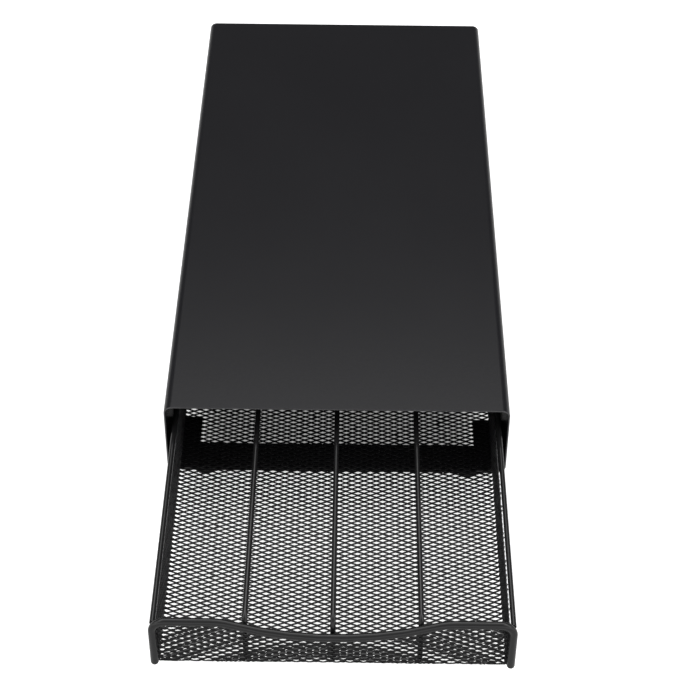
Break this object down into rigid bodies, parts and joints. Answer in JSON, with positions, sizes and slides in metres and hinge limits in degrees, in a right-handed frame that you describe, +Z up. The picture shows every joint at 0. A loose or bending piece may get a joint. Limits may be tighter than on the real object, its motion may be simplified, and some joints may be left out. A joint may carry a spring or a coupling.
{
  "type": "coffee pod drawer",
  "caption": "Low steel sleeve that a coffee machine stands on, with a sliding tray of expanded metal mesh parted into lanes for coffee capsules and a wavy wire front with a finger scoop.",
  "frame": {"origin": "under the middle of the whole object with the drawer drawn out, on the surface that the feet stand on", "axes": "+X to the right seen from the front, +Y to the back, +Z up; the drawer slides out along -Y"},
  "size_m": [0.19, 0.5437, 0.052],
  "materials": {
    "housing_coat": "satin black powder coat",
    "wire_coat": "satin black powder coat",
    "mesh_coat": "satin black powder coat",
    "foot_rubber": "matt black"
  },
  "bodies": {
    "housing": {"housing_shell": "housing_coat", "front_cross_strip": "housing_coat", "rear_cross_strip": "housing_coat", "foot_front_left": "foot_rubber", "foot_front_right": "foot_rubber", "foot_rear_left": "foot_rubber", "foot_rear_right": "foot_rubber"},
    "drawer": {"drawer_front_frame": "wire_coat", "drawer_rim_wire": "wire_coat", "mesh_floor": "mesh_coat", "mesh_wall_front": "mesh_coat", "mesh_wall_back": "mesh_coat", "mesh_wall_left": "mesh_coat", "mesh_wall_right": "mesh_coat", "divider_wire_left": "wire_coat", "divider_wire_centre": "wire_coat", "divider_wire_right": "wire_coat"}
  },
  "joints": [
    {"name": "drawer_slide", "type": "slide", "parent": "housing", "child": "drawer", "axis": [0, -1, 0], "range_m": [-0.1437, 0.1463]}
  ]
}
